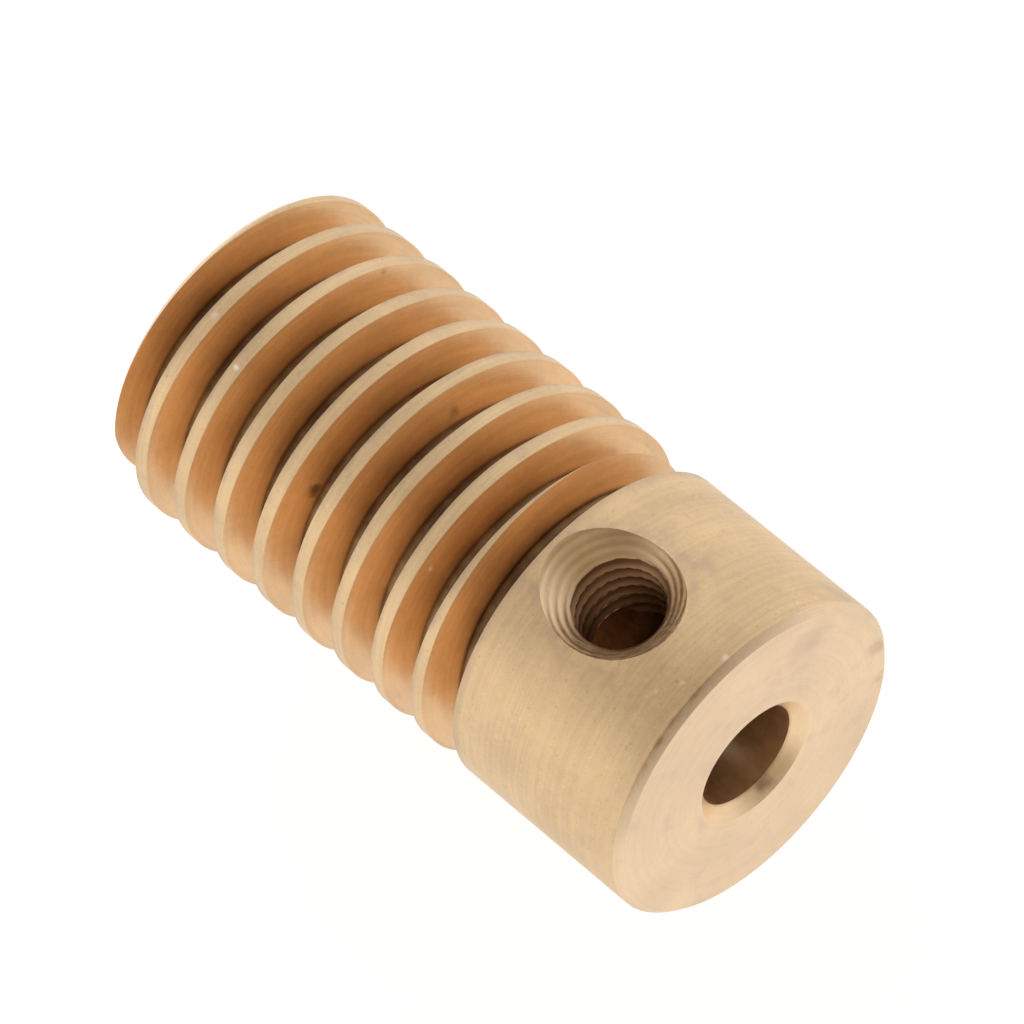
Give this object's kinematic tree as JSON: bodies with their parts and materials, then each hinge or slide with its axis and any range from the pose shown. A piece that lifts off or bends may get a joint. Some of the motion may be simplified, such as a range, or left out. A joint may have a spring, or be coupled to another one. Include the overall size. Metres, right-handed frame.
{
  "type": "worm",
  "caption": "Left-hand brass worm, module 0.5, single start, with a plain hub, a 3.2 mm bore and an M3 cross hole for a set screw.",
  "frame": {"origin": "the middle of the worm, on its axis", "axes": "+X along the worm axis, out of the hub's end face; +Z along the axis of the open tapped hole, pointing out of it"},
  "size_m": [0.02, 0.01, 0.01],
  "materials": {
    "worm_brass": "dull machined brass with a light patina",
    "screw_steel": "black oxide"
  },
  "bodies": {
    "worm": {"worm": "worm_brass"},
    "set_screw": {"set_screw": "screw_steel"}
  },
  "joints": [
    {"name": "set_screw_travel", "type": "slide", "parent": "worm", "child": "set_screw", "axis": [0, 0, -1], "range_m": [-0.0006, 0.0036]}
  ]
}
